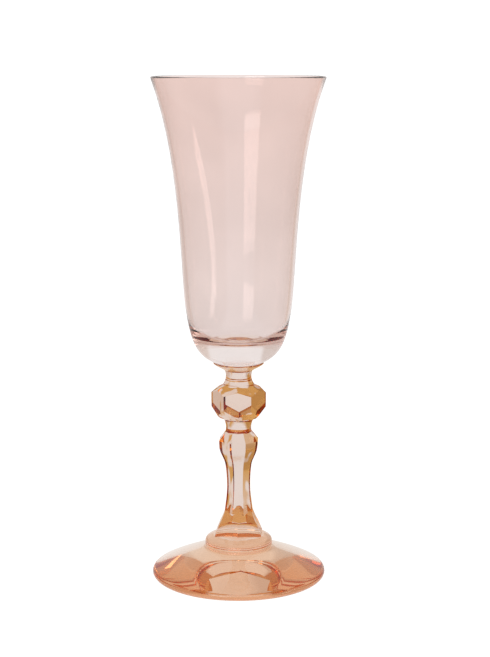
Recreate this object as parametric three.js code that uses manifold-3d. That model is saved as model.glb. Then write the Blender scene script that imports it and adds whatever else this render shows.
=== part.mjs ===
// Champagne flute in tinted glass: a blown bowl on a pressed, faceted stem and a spun foot.
// Millimetres, +Z up, origin at the centre of the flat underside of the foot.
// The pieces are fused hot on the real glass, so they meet here on shared flat faces.

import * as THREE from 'three';
import { mergeVertices } from 'three/addons/utils/BufferGeometryUtils.js';
import Module from 'manifold-3d';

const wasm = await Module();
wasm.setup();

// ---------------------------------------------------------------- driving dimensions

// An outline is a list of steps from the bottom up, each of radius and height. A step of two
// numbers is a straight line to a point. A step of six is a curve: its two handles, then its end.

const HEIGHT = 205;

// The three fused joints, each a flat disc.
const FOOT_JOINT = { radius: 13.9, height: 13.6 };
const COLLAR_JOINT = { radius: 5.6, height: 86.4 };
const BOWL_JOINT = { radius: 10.3, height: 89.8 };

// Bowl: a round shoulder up to the waist, then a long flare to a rim that is melted round.
// Inside, a flat floor turns up into the wall. Each curve here is the two handles of the line
// between two named places.
const RIM = { radius: 34.85, wall: 1.2 };
const WAIST = { radius: 21.6, height: 113, wall: 1.7 };
const BOWL_FLOOR = { radius: 11.5, height: 99.4 };
const SHOULDER_CURVE = [17.2, 93.3, 19.7, 98.3];
const FLARE_CURVE = [23.6, 129.5, 23.1, 172.6];
const INNER_FLARE_CURVE = [21.8, 172.8, 21.9, 129.5];
const INNER_FLOOR_CURVE = [18.9, 105.8, 18, 99.7];

// Collar: the button of glass between the stem and the bowl.
const COLLAR_OUTLINE = [
  [COLLAR_JOINT.radius, COLLAR_JOINT.height],
  [6.6, 87.4, 9.4, 88.4, BOWL_JOINT.radius, BOWL_JOINT.height],
];

// Stem: two round necks with a knop between them, on an eight-sided shaft that spreads into a
// six-sided plinth on a round base. A sided outline gives the radius of the corners.
const NECKS_OUTLINE = [
  [3.6, 53],
  [5.4, 61],
  [5, 62.2, 5, 64.2, 6.2, 66.4],
  [6.2, 81],
  [5, 82.8, 5, 84.6, COLLAR_JOINT.radius, COLLAR_JOINT.height],
];
const SHAFT_OUTLINE = [
  [5, 20],
  [6.2, 27],
  [5.6, 31.4, 5.05, 34.4, 5.05, 38],
  [5.05, 42, 5.5, 46.6, 6, 48.3],
  [6.6, 50.3, 8.1, 52.4, 8.4, 54.6],
  [8.5, 57.3],
  [5.6, 61],
];
const PLINTH_OUTLINE = [
  [11, 15],
  [11, 17.6],
  [9.8, 20.2],
  [9.1, 21.8],
  [8.4, 23],
  [7.4, 25],
  [6.2, 27.8],
];
const BASE_OUTLINE = [
  [FOOT_JOINT.radius, FOOT_JOINT.height],
  [13.9, 14.9, 13.6, 15.7, 12.6, 16.2],
  [10.6, 17.2],
];

// Knop: six upright flats round the waist, cut above and below by six flats turned half a side.
const KNOP_WAIST_OUTLINE = [
  [11, 66],
  [11.2, 74],
  [11.2, 81],
];
const KNOP_ENDS_OUTLINE = [
  [6.2, 66.2],
  [8.4, 67.2],
  [13.4, 71.8],
  [13.4, 77],
  [6.2, 80.6],
];

// One flat of the shaft faces the front (-Y), turned by this much towards +X.
const FRONT_TURN = THREE.MathUtils.degToRad(-3);
const SHAFT_SIDES = 8;
const KNOP_SIDES = 6;

// Foot: a disc with a round edge, rising in a hollow curve to a short boss at the joint.
const FOOT = { radius: 35.8, edge: 1.7 };
const EDGE_TOP_CURVE = [35.8, 2.295, 35.46, 3.06, 34.44, 3.57];
const FOOT_CONE_CURVE = [28, 6.8, 20.5, 9.4, 14.6, 11.6];
const BOSS_CURVE = [13.8, 12, 13.7, 12.6];

const ROUND_SIDES = 48;
const CURVE_STEPS = 8;

// ---------------------------------------------------------------- materials

const roseGlass = { color: 0xf0d5cf, roughness: 0.03, metalness: 0 };
const amberGlass = { color: 0xe3ab83, roughness: 0.04, metalness: 0 };

// ---------------------------------------------------------------- shaping

// Starts an outline on the axis.
function outlineFrom(height) {
  const outline = new THREE.Path();
  outline.moveTo(0, height);
  return outline;
}

// A whole outline from its steps, closed to the axis at both ends.
function outlineOf(steps) {
  const outline = outlineFrom(steps.at(0).at(-1));
  for (const step of steps) {
    if (step.length === 2) outline.lineTo(...step);
    else outline.bezierCurveTo(...step);
  }
  outline.lineTo(0, steps.at(-1).at(-1));
  return outline;
}

// Turns an outline about +Z. A corner of the section stands at the given angle from the front.
function turned(outline, sides = ROUND_SIDES, turn = 0) {
  const geometry = new THREE.LatheGeometry(outline.getPoints(CURVE_STEPS), sides, turn);
  return geometry.rotateX(Math.PI / 2);
}

// A closed geometry as a solid that can be joined and cut.
function solid(geometry) {
  geometry.deleteAttribute('normal');
  geometry.deleteAttribute('uv');
  const merged = mergeVertices(geometry);
  const corners = merged.index.array;
  const triangles = [];
  for (let i = 0; i < corners.length; i += 3) {
    const [a, b, c] = corners.slice(i, i + 3);
    if (a !== b && b !== c && c !== a) triangles.push(a, b, c);
  }
  return new wasm.Manifold(new wasm.Mesh({
    numProp: 3,
    vertProperties: new Float32Array(merged.attributes.position.array),
    triVerts: new Uint32Array(triangles),
  }));
}

// A solid as a geometry again.
function geometryOf(body) {
  const mesh = body.getMesh();
  const geometry = new THREE.BufferGeometry();
  geometry.setAttribute('position', new THREE.BufferAttribute(mesh.vertProperties, 3));
  geometry.setIndex(new THREE.BufferAttribute(mesh.triVerts, 1));
  geometry.computeVertexNormals();
  return geometry;
}

function piece(name, geometry, finish) {
  const mesh = new THREE.Mesh(geometry, new THREE.MeshStandardMaterial(finish));
  mesh.name = name;
  return mesh;
}

// ---------------------------------------------------------------- bowl

function bowl() {
  const lip = RIM.wall / 2;
  const outline = outlineFrom(BOWL_JOINT.height);
  outline.lineTo(BOWL_JOINT.radius, BOWL_JOINT.height);
  outline.bezierCurveTo(...SHOULDER_CURVE, WAIST.radius, WAIST.height);
  outline.bezierCurveTo(...FLARE_CURVE, RIM.radius, HEIGHT - lip);
  outline.absarc(RIM.radius - lip, HEIGHT - lip, lip, 0, Math.PI, false);
  outline.bezierCurveTo(...INNER_FLARE_CURVE, WAIST.radius - WAIST.wall, WAIST.height);
  outline.bezierCurveTo(...INNER_FLOOR_CURVE, BOWL_FLOOR.radius, BOWL_FLOOR.height);
  outline.lineTo(0, BOWL_FLOOR.height);
  return turned(outline);
}

// ---------------------------------------------------------------- collar

function collar() {
  return turned(outlineOf(COLLAR_OUTLINE));
}

// ---------------------------------------------------------------- stem

function necks() {
  return solid(turned(outlineOf(NECKS_OUTLINE)));
}

function knop() {
  const halfSide = Math.PI / KNOP_SIDES;
  const waist = turned(outlineOf(KNOP_WAIST_OUTLINE), KNOP_SIDES, FRONT_TURN + halfSide);
  const ends = turned(outlineOf(KNOP_ENDS_OUTLINE), KNOP_SIDES, FRONT_TURN);
  return solid(waist).intersect(solid(ends));
}

function shaft() {
  const halfSide = Math.PI / SHAFT_SIDES;
  return solid(turned(outlineOf(SHAFT_OUTLINE), SHAFT_SIDES, FRONT_TURN + halfSide));
}

// The plinth has a corner at the front, in line with the corners of the knop's ends.
function plinth() {
  return solid(turned(outlineOf(PLINTH_OUTLINE), KNOP_SIDES, FRONT_TURN));
}

function base() {
  return solid(turned(outlineOf(BASE_OUTLINE)));
}

function stem() {
  const bodies = [necks(), knop(), shaft(), plinth(), base()];
  return geometryOf(bodies.reduce((joined, body) => joined.add(body)));
}

// ---------------------------------------------------------------- foot

function foot() {
  const { radius, edge } = FOOT;
  const outline = outlineFrom(0);
  outline.lineTo(radius - edge, 0);
  outline.absarc(radius - edge, edge, edge, -Math.PI / 2, 0, false);
  outline.bezierCurveTo(...EDGE_TOP_CURVE);
  outline.bezierCurveTo(...FOOT_CONE_CURVE);
  outline.bezierCurveTo(...BOSS_CURVE, FOOT_JOINT.radius, FOOT_JOINT.height);
  outline.lineTo(0, FOOT_JOINT.height);
  return turned(outline);
}

// ---------------------------------------------------------------- assembly

const group = new THREE.Group();
group.add(
  piece('bowl', bowl(), roseGlass),
  piece('collar', collar(), amberGlass),
  piece('stem', stem(), amberGlass),
  piece('foot', foot(), amberGlass),
);

export default group;
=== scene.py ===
import math

import bpy
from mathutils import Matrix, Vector


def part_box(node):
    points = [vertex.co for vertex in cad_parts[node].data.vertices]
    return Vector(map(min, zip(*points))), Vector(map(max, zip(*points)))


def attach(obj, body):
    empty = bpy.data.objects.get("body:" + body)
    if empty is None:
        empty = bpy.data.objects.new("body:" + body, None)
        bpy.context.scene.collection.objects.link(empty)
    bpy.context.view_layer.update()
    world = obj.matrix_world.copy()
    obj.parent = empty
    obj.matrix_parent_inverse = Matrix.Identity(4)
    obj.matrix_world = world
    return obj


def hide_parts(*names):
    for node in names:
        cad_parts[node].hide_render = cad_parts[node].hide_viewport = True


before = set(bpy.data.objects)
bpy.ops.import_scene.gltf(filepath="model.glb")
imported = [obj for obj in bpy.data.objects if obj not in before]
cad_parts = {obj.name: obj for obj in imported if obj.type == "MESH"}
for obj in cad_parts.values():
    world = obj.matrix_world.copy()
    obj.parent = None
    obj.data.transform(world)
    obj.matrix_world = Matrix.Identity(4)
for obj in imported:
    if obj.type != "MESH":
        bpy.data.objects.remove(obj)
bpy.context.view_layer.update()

# ---------------------------------------------------------------- bowl
# The bowl is blown glass, stained rose all over its outside. Its thick clear floor turns up
# through a round shoulder into a long wall that thins towards the flared rim, and the rim is
# melted round. It is fused hot to the collar under it.

MM = 0.001

# Each piece stops this short of a fused joint, and the edges of the two wide seams are cut
# back this far.
FUSED_SETBACK = 0.01 * MM
SEAM = 0.35 * MM


def mm(*numbers):
    """Points of (radius, height) from a plain list of millimetres."""
    return [(numbers[i] * MM, numbers[i + 1] * MM) for i in range(0, len(numbers), 2)]


low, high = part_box("bowl")
BOWL_LOW = low.z
BOWL_JOINT_RADIUS = 10.3 * MM
RIM_RADIUS = high.x
RIM_HEIGHT = high.z
RIM_WALL = 1.2 * MM
WAIST_RADIUS = 21.6 * MM
WAIST_HEIGHT = 113 * MM
WAIST_WALL = 1.7 * MM
BOWL_FLOOR_HEIGHT = 99.4 * MM
BOWL_FLOOR_RADIUS = 11.5 * MM

# The two handles of each long curve.
SHOULDER_CURVE = mm(17.2, 93.3, 19.7, 98.3)
FLARE_CURVE = mm(23.6, 129.5, 23.1, 172.6)
INNER_FLARE_CURVE = mm(21.8, 172.8, 21.9, 129.5)
INNER_FLOOR_CURVE = mm(18.9, 105.8, 18, 99.7)

# How far from the corner the handles of a quarter round stand, as a share of its radius.
QUARTER_ROUND = 0.45
ROUND_SIDES = 128
CURVE_STEPS = 14
MERGE_DISTANCE = 0.002 * MM


def turned(name, outline, sides=ROUND_SIDES, first=0.0, steps=CURVE_STEPS):
    """Spins half an outline about the upright axis, with its first corner at the given angle.
    A step of three points is a curve: two handles and its end. Any other step is a straight
    line to one point."""
    bpy.ops.object.select_all(action="DESELECT")
    bpy.ops.curve.primitive_bezier_curve_add()
    wire = bpy.context.object
    wire.data.dimensions = "3D"
    wire.data.resolution_u = steps
    points = wire.data.splines[0].bezier_points
    points.add(len(outline) - len(points))
    for here in points:
        here.handle_left_type = here.handle_right_type = "FREE"
    before = None
    for here, step in zip(points, outline):
        curved = len(step) == 3
        places = [
            Vector((radius * math.cos(first), radius * math.sin(first), height))
            for radius, height in (step if curved else [step])
        ]
        here.co = here.handle_left = here.handle_right = places[-1]
        if curved:
            before.handle_right, here.handle_left = places[:2]
        elif before:
            before.handle_right_type = here.handle_left_type = "VECTOR"
        before = here
    bpy.ops.object.convert(target="MESH")
    piece = bpy.context.object
    piece.name = piece.data.name = name
    bpy.ops.object.mode_set(mode="EDIT")
    bpy.ops.mesh.select_all(action="SELECT")
    bpy.ops.mesh.spin(steps=sides, angle=2 * math.pi, center=(0, 0, 0), axis=(0, 0, 1))
    bpy.ops.mesh.select_all(action="SELECT")
    bpy.ops.mesh.remove_doubles(threshold=MERGE_DISTANCE)
    bpy.ops.mesh.normals_make_consistent(inside=False)
    bpy.ops.object.mode_set(mode="OBJECT")
    bpy.ops.object.transform_apply(location=True, rotation=True, scale=True)
    return piece


lip = RIM_WALL / 2
round_over = QUARTER_ROUND * lip
inner_rim = RIM_RADIUS - RIM_WALL
bowl = turned("bowl_glass", [
    (0, BOWL_LOW + FUSED_SETBACK),
    (BOWL_JOINT_RADIUS - SEAM, BOWL_LOW + FUSED_SETBACK),
    (BOWL_JOINT_RADIUS + 0.3 * SEAM, BOWL_LOW + SEAM),
    SHOULDER_CURVE + [(WAIST_RADIUS, WAIST_HEIGHT)],
    FLARE_CURVE + [(RIM_RADIUS, RIM_HEIGHT - lip)],
    [(RIM_RADIUS, RIM_HEIGHT - round_over), (RIM_RADIUS - round_over, RIM_HEIGHT),
     (RIM_RADIUS - lip, RIM_HEIGHT)],
    [(inner_rim + round_over, RIM_HEIGHT), (inner_rim, RIM_HEIGHT - round_over),
     (inner_rim, RIM_HEIGHT - lip)],
    INNER_FLARE_CURVE + [(WAIST_RADIUS - WAIST_WALL, WAIST_HEIGHT)],
    INNER_FLOOR_CURVE + [(BOWL_FLOOR_RADIUS, BOWL_FLOOR_HEIGHT)],
    (0, BOWL_FLOOR_HEIGHT),
])


def feed(tree, socket, value):
    """Sets a socket to a value, or links it to the output that feeds it."""
    if isinstance(value, bpy.types.NodeSocket):
        tree.links.new(value, socket)
    else:
        socket.default_value = value


def add_node(tree, kind, **inputs):
    """Adds a node and feeds its inputs. They are named as on the node, with _ for a space."""
    made = tree.nodes.new(kind)
    for name, value in inputs.items():
        feed(tree, made.inputs[name.replace("_", " ")], value)
    return made


def noise(tree, place, scale, detail):
    made = add_node(tree, "ShaderNodeTexNoise", Vector=place, Scale=scale, Detail=detail)
    return made.outputs["Fac"]


def ranged(tree, value, start, end, first=0.0, last=1.0, smooth=False):
    """First where the value is at start, last where it is at end, and a change between."""
    made = add_node(tree, "ShaderNodeMapRange", Value=value, From_Min=start, From_Max=end,
                    To_Min=first, To_Max=last)
    if smooth:
        made.interpolation_type = "SMOOTHSTEP"
    return made.outputs["Result"]


def maths(tree, operation, *values):
    made = tree.nodes.new("ShaderNodeMath")
    made.operation = operation
    for socket, value in zip(made.inputs, values):
        feed(tree, socket, value)
    return made.outputs[0]


# Where a Mix node keeps its share and its two colours, and where it gives the mixed colour.
MIX_INPUTS = (0, 6, 7)
MIX_COLOUR = 2


def mixed(tree, share, first, second, blend="MIX"):
    """Mixes two colours, each one plain or an output. The share is that of the second."""
    made = tree.nodes.new("ShaderNodeMix")
    made.data_type = "RGBA"
    made.blend_type = blend
    for index, value in zip(MIX_INPUTS, (share, first, second)):
        feed(tree, made.inputs[index], (*value, 1) if isinstance(value, tuple) else value)
    return made.outputs[MIX_COLOUR]


# Each pair is where an effect begins and where it is full.
REFRACTION = 1.5
WAVE_SCALE = 1.0
SMEAR_SCALE = 70.0
SMEARED = (0.5, 0.8)
SMEAR_ROUGHNESS = 0.03
CLOUD_SCALE = 28.0
CLOUDED = (0.3, 0.7)
CLOUD_SHADE = 0.96
SHADE_PATCH_SCALE = 6.0
SHADE_PATCH_EDGE = (0.46, 0.53)
# Painted shade: how much heavier the shade patches lie towards the right side of the glass.
SHADE_HEAVIER_TO_THE_RIGHT = 14.0
TURNED_BACK = (0.9, 1.0)
EVEN_SLANT = 0.5


def glass(name, stain, high_stain, heights, trapped, body, density, ripple, grain,
          shade_slants, slant_stain_and_shade, shade_in_patches):
    """Stained glass. The stain changes from stain to high_stain between the two heights. Where
    light is turned back inside it runs along the stain, and shows the trapped colour. Faces
    that slant away take on the slanted-side colour, from none of it at the first of the two
    slant values to all of it at the second. That colour is partly the stain seen edge-on and
    mostly painted shade, standing in for the darker sides of the glass. The painted shade lies
    in random patches, heavier on the right side, and grows between the two heights. Of the
    last pair, the first share is how much of it shows outside the patches, and the second
    how much in them."""
    finish = bpy.data.materials.new(name)
    finish.use_nodes = True
    tree = finish.node_tree
    tree.nodes.clear()

    place = add_node(tree, "ShaderNodeTexCoord").outputs["Object"]
    levels = add_node(tree, "ShaderNodeSeparateXYZ", Vector=place)
    stretched = add_node(tree, "ShaderNodeMapping", Vector=place, Scale=grain).outputs[0]

    # The surface is drawn out in faint waves, and hazy where it was wiped.
    waves = noise(tree, stretched, scale=WAVE_SCALE, detail=1.0)
    relief = add_node(tree, "ShaderNodeBump", Strength=ripple, Distance=MM, Height=waves)
    smears = noise(tree, place, scale=SMEAR_SCALE, detail=3.0)
    haze = ranged(tree, smears, *SMEARED, 0.0, SMEAR_ROUGHNESS)

    # The random patches of painted shade are drawn out as the waves are, and the painted shade
    # lies heavier on the right side.
    shade_patches = noise(tree, stretched, scale=SHADE_PATCH_SCALE, detail=1.0)
    right_heavy_shade_patches = maths(tree, "MULTIPLY_ADD", levels.outputs["X"], SHADE_HEAVIER_TO_THE_RIGHT, shade_patches)
    shade_patch_mask = ranged(tree, right_heavy_shade_patches, *SHADE_PATCH_EDGE, *shade_in_patches)
    facing = add_node(tree, "ShaderNodeLayerWeight", Blend=EVEN_SLANT).outputs["Facing"]
    slant_shade_share = ranged(tree, facing, *shade_slants)
    rise = ranged(tree, levels.outputs["Z"], *heights)
    # Painted shade: the slanted-side colour, shown in the patches and growing with height.
    painted_slant_shade = maths(tree, "MULTIPLY", maths(tree, "MULTIPLY", slant_shade_share, shade_patch_mask), rise)

    mirror = add_node(tree, "ShaderNodeFresnel", IOR=REFRACTION).outputs[0]
    caught = ranged(tree, mirror, *TURNED_BACK)
    clouds = noise(tree, place, scale=CLOUD_SCALE, detail=2.0)
    shade = ranged(tree, clouds, *CLOUDED, CLOUD_SHADE, 1.0)
    tint = mixed(tree, rise, stain, high_stain)
    tint = mixed(tree, painted_slant_shade, tint, slant_stain_and_shade)
    tint = mixed(tree, caught, tint, trapped)
    tint = mixed(tree, 1.0, tint, shade, "MULTIPLY")

    # A fused face is not there at all, so light passes it straight.
    surface = add_node(tree, "ShaderNodeBsdfGlass", Color=tint, Roughness=haze,
                       Normal=relief.outputs[0], IOR=REFRACTION)
    gone = add_node(tree, "ShaderNodeBsdfTransparent")
    fused = tree.nodes.new("ShaderNodeAttribute")
    fused.attribute_name = "fused"
    choice = tree.nodes.new("ShaderNodeMixShader")
    sources = (fused.outputs["Fac"], surface.outputs[0], gone.outputs[0])
    for socket, source in zip(choice.inputs, sources):
        tree.links.new(source, socket)
    depth = add_node(tree, "ShaderNodeVolumeAbsorption", Color=(*body, 1), Density=density)
    add_node(tree, "ShaderNodeOutputMaterial", Surface=choice.outputs[0],
             Volume=depth.outputs[0])
    return finish


LEVEL = 0.99
JOINT_REACH = 0.05 * MM


def finish_glass(piece, finish, node_name, sharp, joints):
    """Marks the level faces at the fused joints, keeps edges over the sharp angle crisp, gives
    the glass its finish and puts it in the frame."""
    flag = piece.data.attributes.new("fused", "FLOAT", "FACE")
    for face in piece.data.polygons:
        at_joint = any(abs(face.center.z - joint) < JOINT_REACH for joint in joints)
        if at_joint and abs(face.normal.z) > LEVEL:
            flag.data[face.index].value = 1.0
    piece.data.materials.append(finish)
    bpy.ops.object.select_all(action="DESELECT")
    piece.select_set(True)
    bpy.context.view_layer.objects.active = piece
    bpy.ops.object.shade_smooth_by_angle(angle=math.radians(sharp))
    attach(piece, "root")
    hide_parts(node_name)


# The slanted-side colour here is a faint painted shade on the bowl's sides, heavier on the
# right.
rose = glass(
    "rose_glass", stain=(0.979, 0.942, 0.933), high_stain=(0.985, 0.916, 0.897),
    heights=(0.45 * RIM_HEIGHT, RIM_HEIGHT), trapped=(0.98, 0.93, 0.915),
    body=(0.9, 0.62, 0.45), density=2.0, ripple=0.02, grain=(30, 30, 6),
    shade_slants=(0.5, 1.0), slant_stain_and_shade=(0.85, 0.75, 0.7), shade_in_patches=(0.0, 0.1))
finish_glass(bowl, rose, "bowl", sharp=40, joints=[BOWL_LOW])

# ---------------------------------------------------------------- collar
# The collar is the small button of amber glass that joins bowl and stem. It is pressed on hot,
# which leaves a fine groove round the wide seam under the bowl.

low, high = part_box("collar")
COLLAR_LOW = low.z
COLLAR_RADIUS = high.x
COLLAR_NECK = 5.6 * MM
COLLAR_CURVE = mm(6.6, 87.4, 9.4, 88.4)

collar = turned("collar_glass", [
    (0, COLLAR_LOW + FUSED_SETBACK),
    (COLLAR_NECK, COLLAR_LOW + FUSED_SETBACK),
    COLLAR_CURVE + [(COLLAR_RADIUS, BOWL_LOW - SEAM)],
    (COLLAR_RADIUS - SEAM, BOWL_LOW - FUSED_SETBACK),
    (0, BOWL_LOW - FUSED_SETBACK),
])
# The slanted-side colour here is painted shade on the sides of collar and foot.
pale_amber = glass(
    "pale_amber_glass", stain=(0.985, 0.938, 0.905), high_stain=(0.975, 0.93, 0.89),
    heights=(0, COLLAR_LOW), trapped=(0.985, 0.92, 0.83),
    body=(0.93, 0.62, 0.38), density=23.0, ripple=0.015, grain=(30, 30, 30),
    shade_slants=(0.25, 0.5), slant_stain_and_shade=(0.8, 0.52, 0.24), shade_in_patches=(0.35, 0.9))
finish_glass(collar, pale_amber, "collar", sharp=30, joints=[COLLAR_LOW, BOWL_LOW])

# ---------------------------------------------------------------- stem
# The stem is pressed amber glass in one piece: a six-sided knop between two round necks, then
# an eight-sided shaft that spreads into a stepped plinth on a round base. Its cuts are polished.

low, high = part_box("stem")
STEM_LOW = low.z
BASE_RADIUS = high.x
NECK_SIDES = 96
SHAFT_SIDES = 8
SHAFT_CURVE_STEPS = 10
KNOP_SIDES = 6

# A corner of the plinth and of the knop's ends stands at the front, turned a little.
FRONT = math.radians(-93)
SHAFT_CORNER = FRONT + math.pi / SHAFT_SIDES
KNOP_CORNER = FRONT + math.pi / KNOP_SIDES

LOWER_NECK = mm(3.6, 53, 5.4, 61)
LOWER_NECK_CURVE = mm(5, 62.2, 5, 64.2, 6.2, 66.4)
UPPER_NECK_LOW = (6.2 * MM, 81 * MM)
UPPER_NECK_CURVE = mm(5, 82.8, 5, 84.6)
SHAFT_FOOT = mm(0, 20, 5, 20, 6.2, 27)
SHAFT_CURVES = [
    mm(5.6, 31.4, 5.05, 34.4, 5.05, 38),
    mm(5.05, 42, 5.5, 46.6, 6, 48.3),
    mm(6.6, 50.3, 8.1, 52.4, 8.4, 54.6),
]
SHAFT_SHOULDER = mm(8.5, 57.3, 5.6, 61, 0, 61)
PLINTH_OUTLINE = mm(
    0, 15, 11, 15, 11, 17.6, 9.8, 20.2, 9.1, 21.8, 8.4, 23, 7.4, 25, 6.2, 27.8, 0, 27.8)
BASE_CURVE = mm(13.9, 14.9, 13.6, 15.7, 12.6, 16.2)
BASE_TOP = mm(10.6, 17.2, 0, 17.2)
KNOP_WAIST_OUTLINE = mm(0, 66, 11, 66, 11.2, 74, 11.2, 81, 0, 81)
KNOP_ENDS_OUTLINE = mm(
    0, 66.2, 6.2, 66.2, 8.4, 67.2, 13.4, 71.8, 13.4, 77, 6.2, 80.6, 0, 80.6)

stem = turned("stem_glass", [
    (0, LOWER_NECK[0][1]),
    *LOWER_NECK,
    LOWER_NECK_CURVE,
    UPPER_NECK_LOW,
    UPPER_NECK_CURVE + [(COLLAR_NECK, COLLAR_LOW - FUSED_SETBACK)],
    (0, COLLAR_LOW - FUSED_SETBACK),
], sides=NECK_SIDES)
shaft = turned(
    "shaft", SHAFT_FOOT + SHAFT_CURVES + SHAFT_SHOULDER,
    sides=SHAFT_SIDES, first=SHAFT_CORNER, steps=SHAFT_CURVE_STEPS)
plinth = turned("plinth", PLINTH_OUTLINE, sides=KNOP_SIDES, first=FRONT)
base = turned("base", [
    (0, STEM_LOW + FUSED_SETBACK),
    (BASE_RADIUS - SEAM, STEM_LOW + FUSED_SETBACK),
    (BASE_RADIUS, STEM_LOW + SEAM),
    BASE_CURVE,
    *BASE_TOP,
], sides=NECK_SIDES)
knop = turned("knop", KNOP_WAIST_OUTLINE, sides=KNOP_SIDES, first=KNOP_CORNER)
knop_ends = turned("knop_ends", KNOP_ENDS_OUTLINE, sides=KNOP_SIDES, first=FRONT)


def combine(piece, other, how):
    """Joins the other shape to the piece, or cuts the piece down to it, and uses it up."""
    bpy.ops.object.select_all(action="DESELECT")
    piece.select_set(True)
    bpy.context.view_layer.objects.active = piece
    bpy.ops.object.modifier_add(type="BOOLEAN")
    cut = piece.modifiers[-1]
    cut.operation = how
    cut.solver = "EXACT"
    cut.object = other
    bpy.ops.object.modifier_apply(modifier=cut.name)
    bpy.data.objects.remove(other)


combine(knop, knop_ends, "INTERSECT")
for other in (shaft, plinth, base, knop):
    combine(stem, other, "UNION")
# The slanted-side colour here is strong painted shade on the stem's sides, heavier on the right.
amber = glass(
    "amber_glass", stain=(0.94, 0.86, 0.82), high_stain=(0.94, 0.88, 0.86),
    heights=(STEM_LOW, 30 * MM), trapped=(0.85, 0.55, 0.23),
    body=(0.94, 0.6, 0.25), density=14.0, ripple=0.01, grain=(40, 40, 20),
    shade_slants=(0.18, 0.32), slant_stain_and_shade=(0.74, 0.43, 0.15), shade_in_patches=(0.15, 1.0))
finish_glass(stem, amber, "stem", sharp=12, joints=[STEM_LOW, COLLAR_LOW])

# ---------------------------------------------------------------- foot
# The foot is a disc of amber glass, spun out from the stem while hot. It is flat below, round
# at the edge, and rises in a hollow curve to a short boss under the stem.

_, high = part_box("foot")
FOOT_RADIUS = high.x
EDGE = 1.7 * MM
EDGE_CURVE = [
    (FOOT_RADIUS - QUARTER_ROUND * EDGE, 0),
    (FOOT_RADIUS, (1 - QUARTER_ROUND) * EDGE),
    (FOOT_RADIUS, EDGE),
]
EDGE_TOP_CURVE = [
    (FOOT_RADIUS, 1.35 * EDGE),
    (FOOT_RADIUS - 0.2 * EDGE, 1.8 * EDGE),
    (FOOT_RADIUS - 0.8 * EDGE, 2.1 * EDGE),
]
FOOT_CONE_CURVE = mm(28, 6.8, 20.5, 9.4, 14.6, 11.6)
BOSS_CURVE = mm(13.8, 12, 13.7, 12.6)

foot = turned("foot_glass", [
    (0, 0),
    (FOOT_RADIUS - EDGE, 0),
    EDGE_CURVE,
    EDGE_TOP_CURVE,
    FOOT_CONE_CURVE,
    BOSS_CURVE + [(BASE_RADIUS, STEM_LOW - SEAM)],
    (BASE_RADIUS - SEAM, STEM_LOW - FUSED_SETBACK),
    (0, STEM_LOW - FUSED_SETBACK),
])
finish_glass(foot, pale_amber, "foot", sharp=30, joints=[STEM_LOW])

# ---------------------------------------------------------------- studio
# The glass stands on a white table under an even white backdrop. A wide soft window lights it
# from the left of the camera, and a low bright strip from the right.

EYE_DISTANCE = 0.6248
EYE_HEIGHT = 0.2143
LOOK_DOWN = 10.04
LOOK_RIGHT = 0.24
LENS = 85.5
LIGHT_BOUNCES = 64

camera_data = bpy.data.cameras.new("camera")
camera_data.lens = LENS
camera = bpy.data.objects.new("camera", camera_data)
camera.location = (0, -EYE_DISTANCE, EYE_HEIGHT)
camera.rotation_euler = (math.radians(90 - LOOK_DOWN), 0, math.radians(-LOOK_RIGHT))
bpy.context.scene.collection.objects.link(camera)
bpy.context.scene.camera = camera
bpy.context.scene.view_settings.view_transform = "Standard"
for limit in ("max_bounces", "transmission_bounces", "glossy_bounces"):
    setattr(bpy.context.scene.cycles, limit, LIGHT_BOUNCES)

BACKDROP = (1.1, 1.1, 1.1)
ROOM = (0.93, 0.93, 0.93)
LEFT_WALL = (0.72, 0.66, 0.62)
LEFT_WALL_EDGE = (-0.34, -0.44)
RIGHT_WALL = (0.78, 0.7, 0.64)
RIGHT_WALL_EDGE = (0.46, 0.58)


def room_light(tree, sideways):
    """Plain white behind the glass. The glass itself sees a slightly softer room, with a wall
    far round to each side that is a little darker and warmer, given by how far sideways a ray
    goes."""
    left = ranged(tree, sideways, *LEFT_WALL_EDGE, 1.0, 0.0, smooth=True)
    right = ranged(tree, sideways, *RIGHT_WALL_EDGE, 1.0, 0.0, smooth=True)
    tone = mixed(tree, left, LEFT_WALL, ROOM)
    tone = mixed(tree, right, RIGHT_WALL, tone)
    path = tree.nodes.new("ShaderNodeLightPath")
    return mixed(tree, path.outputs["Is Camera Ray"], tone, BACKDROP)


TABLE_WIDTH = 8
TABLE_DROP = 0.1 * MM
TABLE_COAT = {
    "Base Color": (0, 0, 0, 1),
    "Roughness": 0.6,
    "Specular IOR Level": 0.0,
    "Emission Strength": 1.0,
}
NEAREST_REACH = 0.35

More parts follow.
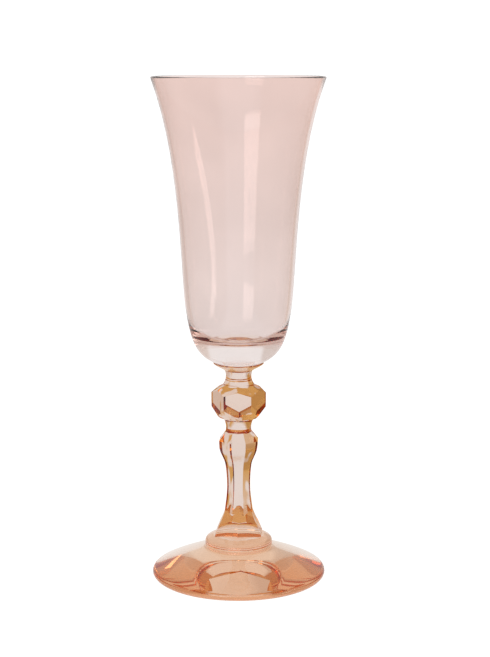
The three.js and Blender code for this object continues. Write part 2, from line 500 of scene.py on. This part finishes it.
bpy.ops.object.select_all(action="DESELECT")
bpy.ops.mesh.primitive_plane_add(size=TABLE_WIDTH, location=(0, 0, -TABLE_DROP))
table = bpy.context.object
table.name = "table"
paint = bpy.data.materials.new("table_white")
paint.use_nodes = True
tree = paint.node_tree
coat = tree.nodes["Principled BSDF"]
for socket, value in TABLE_COAT.items():
    coat.inputs[socket].default_value = value
spot = tree.nodes.new("ShaderNodeTexCoord").outputs["Object"]
axes = add_node(tree, "ShaderNodeSeparateXYZ", Vector=spot)
reach = add_node(tree, "ShaderNodeVectorMath", Vector=spot)
reach.operation = "LENGTH"
away = maths(tree, "MAXIMUM", reach.outputs["Value"], NEAREST_REACH)
sideways = maths(tree, "DIVIDE", axes.outputs["X"], away)
feed(tree, coat.inputs["Emission Color"], room_light(tree, sideways))
table.data.materials.append(paint)

room = bpy.data.worlds.new("room")
room.use_nodes = True
bpy.context.scene.world = room
tree = room.node_tree
direction = tree.nodes.new("ShaderNodeTexCoord").outputs["Generated"]
axes = add_node(tree, "ShaderNodeSeparateXYZ", Vector=direction)
light = room_light(tree, axes.outputs["X"])
feed(tree, tree.nodes["Background"].inputs["Color"], light)

AIM = Vector((0, 0, 0.15))


def window(name, azimuth, height, reach, width, tall, glow, lean=0.0):
    """A lit rectangle facing the glass. The azimuth runs from the camera towards the right."""
    data = bpy.data.lights.new(name, "AREA")
    data.shape = "RECTANGLE"
    data.size = width
    data.size_y = tall
    data.energy = glow * math.pi * width * tall
    lamp = bpy.data.objects.new(name, data)
    turn = math.radians(azimuth)
    lamp.location = (reach * math.sin(turn), -reach * math.cos(turn), height)
    lamp.rotation_euler = (AIM - lamp.location).to_track_quat("-Z", "Y").to_euler()
    lamp.rotation_euler.rotate_axis("Z", math.radians(lean))
    bpy.context.scene.collection.objects.link(lamp)


window("wide_window", azimuth=-24, height=0.5, reach=1.5, width=0.7, tall=0.75, glow=2.0)
window("low_strip", azimuth=71, height=0.26, reach=1.2, width=0.8, tall=0.16, glow=2.2, lean=30)
